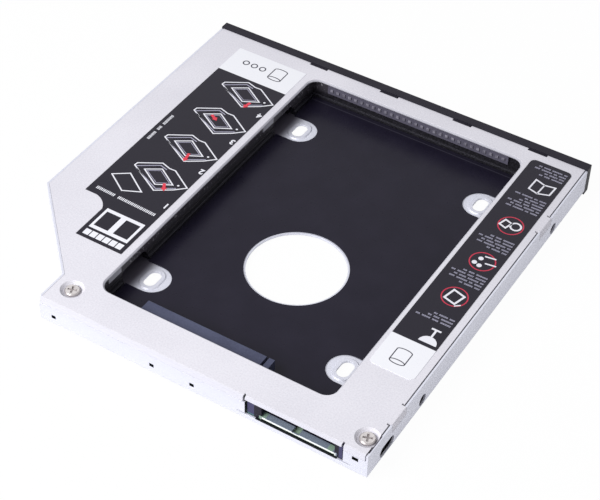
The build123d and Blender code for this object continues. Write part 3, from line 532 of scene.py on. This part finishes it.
# %% Contacts, plates, posts and screws
def bright_metal(name, colour, dark, roughness, metallic=0.9, wear_size=0.7):
    finish = Finish(name, metallic=metallic)
    wear = finish.noise(wear_size, detail=4)
    finish.paint(wear.ramp(0.3, 0.7).mix(dark, colour))
    finish.set(roughness=roughness + 0.15 * wear)
    finish.bump(wear, 0.004, edge=0.08)
    return finish


gold_finish = bright_metal("gold_contacts", tint(236, 196, 112), tint(206, 164, 86), 0.22)
tin_finish = bright_metal("tin_plate", tint(214, 216, 220), tint(176, 178, 184), 0.28)
post_finish = bright_metal("brass_posts", tint(214, 186, 120), tint(180, 152, 92), 0.3)
screw_finish = bright_metal("nickel_screws", tint(224, 219, 218), tint(198, 192, 192), 0.3, 0.6, 0.3)

head_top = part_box("cover_screws")[1].z / MM
recess_radius = 1.5
rim_shade = around_heads(screw_finish, head_radius - 0.35, head_radius + 0.25)
in_recess = around_heads(screw_finish, -1, recess_radius)
in_recess = in_recess * screw_finish.along("Z").below(head_top - 0.35, soft=0.05)
# painted shade on the rim of each head
screw_finish.mark(rim_shade * 0.45, tint(120, 112, 114))
# painted shade in the cross recess
screw_finish.mark(in_recess * 0.6, tint(104, 94, 96))
print("screw heads end at z", round(head_top, 2), "mm")

# %% [markdown]
# ## Labels
#
# Both labels are film printed in two plain fields, black and white. The fields are a mask on the
# place along Y, so the edge between them stays sharp at any distance.

# %% The fields of the labels
def label_finish(name, white_from, white_to):
    """A black label that is white between two places along Y."""
    finish = Finish(name, specular_ior_level=0.26)
    grain = finish.noise(0.6)
    finish.paint(grain.mix(tint(23, 20, 32), tint(29, 26, 39)))
    white_film = grain.mix(tint(243, 244, 250), tint(249, 249, 253))
    finish.mark(between(finish.along("Y"), white_from, white_to, soft=0.05), white_film)
    finish.set(roughness=0.38 + 0.1 * grain)
    finish.bump(grain, 0.002)
    return finish


left_low, left_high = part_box("left_label")
right_low, right_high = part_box("right_label")
left_white_length = 12.2
right_white_length = 12.4
left_white_y = left_high.y / MM - left_white_length
right_white_y = right_low.y / MM + right_white_length
left_label_finish = label_finish("left_label_fields", left_white_y, left_high.y / MM + 1)
right_label_finish = label_finish("right_label_fields", right_low.y / MM - 1, right_white_y)
print("white fields from", round(left_white_y, 1), "and up to", round(right_white_y, 1))

# %% [markdown]
# ## Giving the nodes their finishes
#
# A CAD node keeps its mesh and only gets another material, so that it stays exactly the imported
# solid. Flat shading suits sheet metal, and the Bevel node softens the edges.

# %% Materials of the CAD nodes
finishes = {
    "base_tray": tray_finish,
    "top_cover": cover_finish,
    "insulating_film": film_finish,
    "inner_frame": frame_finish,
    "frame_screws": screw_finish,
    "drive_buffer": buffer_finish,
    "cover_posts": post_finish,
    "cover_screws": screw_finish,
    "connector_board": board_finish,
    "board_posts": post_finish,
    "board_screws": screw_finish,
    "drive_socket": socket_finish,
    "drive_socket_contacts": gold_finish,
    "bay_plug": plug_finish,
    "bay_plug_contacts": gold_finish,
    "socket_hold_downs": tin_finish,
    "plug_hold_downs": tin_finish,
    "board_capacitors": capacitor_finish,
    "board_resistors": resistor_finish,
    "bezel": bezel_finish,
    "left_label": left_label_finish,
    "right_label": right_label_finish,
}
for name, finish in finishes.items():
    nodes[name].data.materials.clear()
    nodes[name].data.materials.append(finish.material)
print("finished", len(finishes), "of", len(nodes), "nodes")

# %% [markdown]
# ## Printed lines
#
# A print is a skin of ink, so each one is a flat mesh just above its label. A line is a strip
# with mitred corners: at each corner both edges move out along the half angle, which keeps the
# line one width all the way round. A curve object could draw it too, but a mesh is exported as
# it is.

# %% Points on an arc
INK = 0.012 * MM


def arc_points(centre, radius, start, end, steps, squash=1.0):
    """Points on an arc, from one angle to the other in degrees."""
    angles = [radians(start + (end - start) * i / steps) for i in range(steps + 1)]
    return [(centre[0] + radius * cos(a), centre[1] + radius * sin(a) * squash) for a in angles]


print("ink is", round(INK / MM, 3), "mm thick")

# %% Ink as a flat mesh
class Print:
    """Lines, rings and filled shapes of one colour of ink, on one label."""

    def __init__(self, name, height):
        self.name = name
        self.height = height
        self.bm = bmesh.new()

    def fill(self, points):
        self.bm.faces.new([self.bm.verts.new((x, y, self.height)) for x, y in points])

    def bar(self, corner, ahead, side):
        """A filled bar from one corner, with its two sides as vectors."""
        self.fill((corner, corner + ahead, corner + ahead + side, corner + side))

    def line(self, points, width, closed=False):
        points = [Vector(p) for p in points]
        count = len(points)
        pairs = []
        for i, point in enumerate(points):
            before = points[i - 1] if closed or i else None
            after = points[(i + 1) % count] if closed or i < count - 1 else None
            ahead = (after - point).normalized() if after is not None else None
            behind = (point - before).normalized() if before is not None else ahead
            ahead = ahead or behind
            side = Vector((-behind.y - ahead.y, behind.x + ahead.x)).normalized()
            side *= width / 2 / max(0.4, side.dot(Vector((-ahead.y, ahead.x))))
            corners = (point - side, point + side)
            pairs.append([self.bm.verts.new((*corner, self.height)) for corner in corners])
        for i in range(count if closed else count - 1):
            a, b = pairs[i], pairs[(i + 1) % count]
            self.bm.faces.new((a[0], b[0], b[1], a[1]))

    def ring(self, centre, radius, width, steps=40):
        self.line(arc_points(centre, radius, 0, 360, steps)[:-1], width, closed=True)

    def done(self, finish):
        """The print as an object that stays with the caddy."""
        mesh = bpy.data.meshes.new(self.name)
        bmesh.ops.recalc_face_normals(self.bm, faces=self.bm.faces)
        for face in self.bm.faces:
            if face.normal.z < 0:
                face.normal_flip()
        self.bm.to_mesh(mesh)
        self.bm.free()
        mesh.materials.append(finish.material)
        piece = bpy.data.objects.new(self.name, mesh)
        scene.collection.objects.link(piece)
        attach(piece, "root")
        print(self.name, "has", len(mesh.polygons), "faces")


# %% Rows of ticks and step numbers
def ticks(ink_print, start, ahead, length, height, groups):
    """A row of upright ticks. groups says how many pairs of ticks stand together."""
    start, ahead = Vector(start), Vector(ahead).normalized()
    side = Vector((-ahead.y, ahead.x)) * height
    step = ahead * length / (sum(groups) + len(groups) - 1)
    done = 0
    for group in groups:
        for i in range(done, done + group):
            corner = start + step * i - side / 2
            ink_print.bar(corner, step * 0.3, side * 0.8)
            ink_print.bar(corner + step * 0.5, step * 0.26, side * 0.8)
        done += group + 1


def number(ink_print, figure, centre, size):
    """A step number, turned to be read from the front of the caddy."""
    name = ink_print.name + figure
    curve = bpy.data.curves.new(name, "FONT")
    curve.body = figure
    curve.size = size
    curve.offset = 0.035 * size
    curve.align_x = curve.align_y = "CENTER"
    solid = bpy.data.objects.new(name, curve)
    mesh = bpy.data.meshes.new_from_object(solid)
    place = Matrix.Translation((*centre, ink_print.height))
    mesh.transform(place @ Matrix.Rotation(pi, 4, "Z"))
    ink_print.bm.from_mesh(mesh)
    bpy.data.objects.remove(solid)
    bpy.data.curves.remove(curve)
    bpy.data.meshes.remove(mesh)


print("print helpers are ready")

# %% [markdown]
# Printing ink is nearly flat in colour. A plain colour would do from afar, but a little noise
# between two close shades, and in the roughness, gives the slight unevenness of a real print.

# %% Ink colours
def ink(name, colour, soft):
    finish = Finish(name)
    grain = finish.noise(0.4)
    finish.paint(grain.mix(soft, colour))
    finish.set(roughness=0.36 + 0.12 * grain)
    return finish


white_ink = ink("white_ink", tint(250, 250, 255), tint(230, 230, 240))
grey_ink = ink("lavender_ink", tint(186, 184, 204), tint(158, 156, 178))
red_ink = ink("red_ink", tint(232, 60, 80), tint(218, 52, 72))
ring_ink = ink("ring_ink", tint(204, 46, 76), tint(188, 40, 68))
dark_ink = ink("dark_ink", tint(48, 46, 60), tint(64, 62, 76))
print("inks are ready")

# %% [markdown]
# ## The left label: four small drawings
#
# Each drawing shows the caddy from above at a slant: an outline, the window and a dot for the
# screw, with a red arrow where a hand works. All four share one set of points, moved along the
# label by a fixed step.

# %% Points of the drawings, in millimetres from the label's right edge
outline = [
    (-18.9, 0), (-18.7, 1.2), (-12.5, 5.0), (-9.5, 4.1),
    (-7.5, 4.2), (-0.4, -0.2), (-3.2, -2.9), (-7.9, -6.1),
]
long_side = [(-18.3, -0.1), (-12.4, 3.9), (-9.8, 3.2)]
inner_side = [(-17.6, -0.9), (-7.9, -5.2), (-3.0, -2.0)]
window = [(-15.4, 0.0), (-11.1, 2.8), (-4.6, -1.3), (-9.1, -3.8)]
window_inner = [(-14.4, -0.1), (-11.0, 2.0), (-5.8, -1.2), (-9.2, -3.0)]
screw_dot = (-3.1, -0.7)
loose_drive = [(-22.0, -6.8), (-17.7, -3.7), (-10.3, -8.6), (-15.4, -11.1)]
arrows = [
    ((-7.0, -2.0), (-5.3, -4.9)),
    ((-8.6, -2.4), (-8.0, -6.2)),
    ((-13.2, 1.0), (-10.4, -0.6)),
    ((-6.7, -3.0), (-7.2, -6.2)),
]
number_places = [(-1.0, -9.6), (-1.0, -7.1), (-1.0, -6.2), (-1.0, -6.7)]
number_size = 2.9
print("each drawing is", outline[5][0] - outline[0][0], "mm wide")

# %% Drawings of the caddy
drawing_step = 15.1 * MM
first_drawing = 32.3 * MM
arrow_width = 0.9 * MM
arrow_head = 1.4 * MM
arrow_flare = 0.95 * MM


def drawn(points, base):
    """Points of a drawing, in metres, from its own millimetres."""
    return [(left_high.x + x * MM, base + y * MM) for x, y in points]


def arrow(ink_print, tail, tip):
    ahead = (tip - tail).normalized()
    side = Vector((-ahead.y, ahead.x)) * arrow_flare
    neck = tip - ahead * arrow_head
    ink_print.line((tail, neck), arrow_width)
    ink_print.fill((neck - side, tip, neck + side))


white = Print("left_label_white_print", left_high.z + INK)
soft = Print("left_label_soft_print", left_high.z + INK)
red = Print("left_label_red_print", left_high.z + 2 * INK)
for step, places in enumerate(zip(arrows, number_places)):
    base = left_low.y + first_drawing + step * drawing_step
    dot, number_place = drawn((screw_dot, places[1]), base)
    white.line(drawn(outline, base), 0.4 * MM, closed=True)
    soft.line(drawn(long_side, base), 0.3 * MM)
    soft.line(drawn(inner_side, base), 0.3 * MM)
    white.line(drawn(window, base), 0.4 * MM, closed=True)
    soft.line(drawn(window_inner, base), 0.2 * MM, closed=True)
    white.fill(arc_points(dot, 0.35 * MM, 0, 324, 9))
    arrow(red, *(Vector(p) for p in drawn(places[0], base)))
    number(white, str(step + 1), number_place, number_size * MM)
white.line(drawn(loose_drive, left_low.y + first_drawing), 0.4 * MM, closed=True)
print("drawings:", len(arrows))

# %% [markdown]
# The rest of the left label is rows of ticks, a white block with two dark fields at the rear,
# and six small blocks below it. Bars from one corner make all of them.

# %% Ticks and blocks on the left label
front_row = (left_high.x - 1.5 * MM, left_low.y + 17.7 * MM)
side_row = (left_low.x + 1.6 * MM, left_low.y + 44 * MM)
ticks(white, front_row, (-1, 0.04), 21 * MM, 1.4 * MM, (12, 6))
ticks(white, side_row, (0, 1), 13 * MM, 1.2 * MM, (4, 2, 5))

block_corner = Vector((left_high.x - 14.2 * MM, left_low.y + 4.2 * MM))
block_width = 13.0 * MM
block_depth = 8.8 * MM
white.bar(block_corner, Vector((block_width, 0)), Vector((0, block_depth)))
block_ink = Print("left_label_block_print", left_high.z + 2 * INK)
middle = block_corner + Vector((block_width, block_depth)) / 2
for side in (-1, 1):
    corner = middle + Vector((side * 3.3 - 2.4, -3.2)) * MM
    block_ink.bar(corner, Vector((4.8 * MM, 0)), Vector((0, 6.4 * MM)))

small_blocks = 6
small_step = 2.2 * MM
for i in range(small_blocks):
    corner = Vector((left_high.x - 1.2 * MM - i * small_step, left_low.y + 1.1 * MM))
    white.bar(corner, Vector((-1.9 * MM, 0)), Vector((0, 2.2 * MM)))
white.done(white_ink)
soft.done(grey_ink)
red.done(red_ink)
block_ink.done(left_label_finish)

# %% [markdown]
# ## A drum on each white field
#
# Both white fields carry the old drawing for storage: a drum, which is an ellipse, two straight
# sides and half an ellipse at its other end. A squashed arc gives each end, and the straight
# sides come by themselves when two arcs are joined into one closed line.

# %% Drums on the white fields
drum_radius = 2.2 * MM
drum_squash = 0.34
left_drum_place = Vector((left_high.x - 7.1 * MM, left_high.y - 5.4 * MM))
right_drum_place = Vector((right_low.x + 6.3 * MM, right_low.y + 5.8 * MM))


def drum(ink_print, centre, length, width):
    """A drum that lies along Y, with its full ellipse at the rear end."""
    half = Vector((0, length / 2))
    far = arc_points(centre + half, drum_radius, 0, 180, 16, drum_squash)
    near = arc_points(centre - half, drum_radius, 180, 360, 16, drum_squash)
    ink_print.line(far + near, width, closed=True)
    ink_print.line(arc_points(centre - half, drum_radius, 0, 180, 16, drum_squash), width)


left_drum = Print("left_label_drum", left_high.z + INK)
drum(left_drum, left_drum_place, 4.4 * MM, 0.34 * MM)
for place in (12.6, 15.6, 18.6):
    left_drum.ring((left_high.x - place * MM, left_drum_place.y), 0.95 * MM, 0.4 * MM, 16)
left_drum.done(dark_ink)
right_drum = Print("right_label_drum", right_high.z + INK)
drum(right_drum, right_drum_place, 4.2 * MM, 0.3 * MM)
right_drum.done(dark_ink)

# %% [markdown]
# ## The right label: rings, frames and bars
#
# A column of red rings runs along this label, with white frames, dots and strokes in them and
# rows of small ticks between. The white ink lies a layer higher than the red, so that no two
# faces share one plane where they cross.

# %% Red rings and what is in them
right_white = Print("right_label_white_print", right_high.z + 2 * INK)
right_soft = Print("right_label_soft_print", right_high.z + INK)
right_red = Print("right_label_red_print", right_high.z + INK)


def on_right(x, y):
    """A place on the right label, in millimetres from its rear left corner."""
    return Vector((right_low.x + x * MM, right_low.y + y * MM))


def path(places):
    return [on_right(x, y) for x, y in places]


for place in path(((7.7, 32.6), (7.7, 48.7), (7.7, 65.9))):
    right_red.ring(place, 3.6 * MM, 0.36 * MM)
tilted = ((5.4, 31.0), (8.9, 30.1), (10.0, 33.9), (6.4, 34.9))
right_white.line(path(tilted), 0.6 * MM, closed=True)
right_white.line(path(((9.2, 29.4), (10.6, 30.6))), 0.4 * MM)
for place in path(((5.9, 47.4), (7.6, 46.9), (6.8, 49.6))):
    right_white.fill(arc_points(place, 0.75 * MM, 0, 330, 11))
for x, y in ((7.4, 50.9), (8.6, 48.4)):
    right_white.line(path(((x, y), (x + 3.2, y + 0.5))), 0.5 * MM)
small_frame = ((4.6, 65.0), (6.8, 64.3), (7.6, 66.8), (5.4, 67.5))
right_white.line(path(small_frame), 0.55 * MM, closed=True)
right_white.ring(on_right(9.1, 66.2), 1.5 * MM, 0.55 * MM)
print("rings are drawn")

# %% Shapes between the rings
leaves = ((4.9, 83.0), (7.9, 82.2), (11.2, 83.4), (11.4, 87.2), (8.2, 86.6), (5.1, 87.6))
right_white.line(path(leaves), 0.5 * MM, closed=True)
right_white.line(path((leaves[1], leaves[4])), 0.45 * MM)
dome_x, dome_y, dome_radius = 9.6, 13.6, 2.6
stem_top = dome_y + dome_radius
bar_y = dome_y + 5.4
right_white.fill(arc_points(on_right(dome_x, dome_y), dome_radius * MM, 0, 180, 14))
right_white.line(path(((dome_x, stem_top), (dome_x, stem_top + 2.5))), 0.6 * MM)
right_white.line(path(((dome_x - 1.4, bar_y), (dome_x + 1.4, bar_y))), 0.6 * MM)
print("shapes are drawn")

# %% Rows of ticks on the right label
row_step = 1.2
row_start = 12.0
row_height = 0.72
row_groups = ((3, 5, 2), (4, 2, 6, 3), (2, 6, 4, 2), (5, 3, 4, 2), (6, 3, 2))
row_lengths = (6.2, 9.8, 9.0, 10.4, 7.4)
for first, rows in ((22.0, 3), (38.4, 5), (54.6, 5), (73.6, 6), (90.0, 4)):
    for row in range(rows):
        kind = (row + rows) % len(row_groups)
        start = on_right(row_start, first + row_step * row)
        ticks(right_soft, start, (-1, 0), row_lengths[kind] * MM, row_height * MM, row_groups[kind])
right_white.done(white_ink)
right_soft.done(grey_ink)
right_red.done(ring_ink)

# %% [markdown]
# ## Floor, light and camera
#
# The floor is plain and pale. Light Path makes it glow to the camera and in reflections, so it
# looks white there, while the lamp stays at a level where a colour renders about as it is
# written. The lamp is large and soft. It stands at the rear left of the caddy, so the cover and
# the rear wall get more of it than the right wall.

# %% Floor
floor_size = 3.0
floor_drop = 0.05 * MM
floor_share = 0.97
corners = [(x * floor_size, y * floor_size, -floor_drop) for x, y in ((-1, -1), (1, -1), (1, 1), (-1, 1))]
floor_mesh = bpy.data.meshes.new("floor")
floor_mesh.from_pydata(corners, [], [(0, 1, 2, 3)])
floor = bpy.data.objects.new("floor", floor_mesh)
scene.collection.objects.link(floor)

floor_finish = Finish("pale_floor", base_color=tint(244, 244, 246), roughness=0.8)
lit = Link(floor_finish, floor_finish.shader.outputs[0])
glow = floor_finish.node("ShaderNodeEmission", inputs={"Color": (1, 1, 1, 1), "Strength": 1.0})
share = floor_finish.seen_by_camera() * floor_share
mixed = floor_finish.node("ShaderNodeMixShader", inputs={0: share, 1: lit, 2: glow})
floor_finish.feed(floor_finish.tree.nodes["Material Output"].inputs["Surface"], mixed)
floor_mesh.materials.append(floor_finish.material)
print("floor is", 2 * floor_size, "m wide")

# %% World
sky_colour = (0.95, 0.96, 1.0, 1)
sky_strength = 0.42
world = bpy.data.worlds.new("studio")
world.use_nodes = True
scene.world = world
studio = Graph(world.node_tree)
sky = studio.tree.nodes["Background"]
studio.feed(sky.inputs["Color"], sky_colour)
studio.feed(sky.inputs["Strength"], sky_strength)
white_sky = studio.node("ShaderNodeBackground", inputs={"Color": (1, 1, 1, 1)})
shares = {0: studio.seen_by_camera(), 1: Link(studio, sky.outputs[0]), 2: white_sky}
dome = studio.node("ShaderNodeMixShader", inputs=shares)
studio.feed(studio.tree.nodes["World Output"].inputs["Surface"], dome)
print("world:", world.name)

# %% Lamp
lamp_place = Vector((-0.24, -0.5, 0.48))
lamp_data = bpy.data.lights.new("key_lamp", "AREA")
lamp_data.size = 0.45
lamp_data.energy = 5.3
lamp = bpy.data.objects.new("key_lamp", lamp_data)
lamp.location = lamp_place
lamp.rotation_euler = (-lamp_place).to_track_quat("-Z", "Y").to_euler()
scene.collection.objects.link(lamp)
print("lamp is", round(lamp_place.length, 2), "m from the caddy")

# %% [markdown]
# The camera's place, aim, roll and lens were fitted to the photograph, with the hole pattern of
# a 2.5 inch drive as the scale. A long lens from some way off keeps the far edge nearly as large
# as the near one.

# %% Camera
camera_place = Vector((179.722, -294.064, 320.660)) * MM
camera_target = Vector((8.916, -7.803, 4.5)) * MM
camera_roll = radians(1.55)
camera_data = bpy.data.cameras.new("camera")
camera_data.sensor_width = 36
camera_data.lens = 99.19
camera = bpy.data.objects.new("camera", camera_data)
camera.location = camera_place
aim = (camera_target - camera_place).to_track_quat("-Z", "Y").to_matrix()
camera.rotation_euler = (aim @ Matrix.Rotation(camera_roll, 3, "Z")).to_euler()
scene.collection.objects.link(camera)
scene.camera = camera
scene.view_settings.view_transform = "Standard"
print("camera is", round((camera_place - camera_target).length, 2), "m from its target")
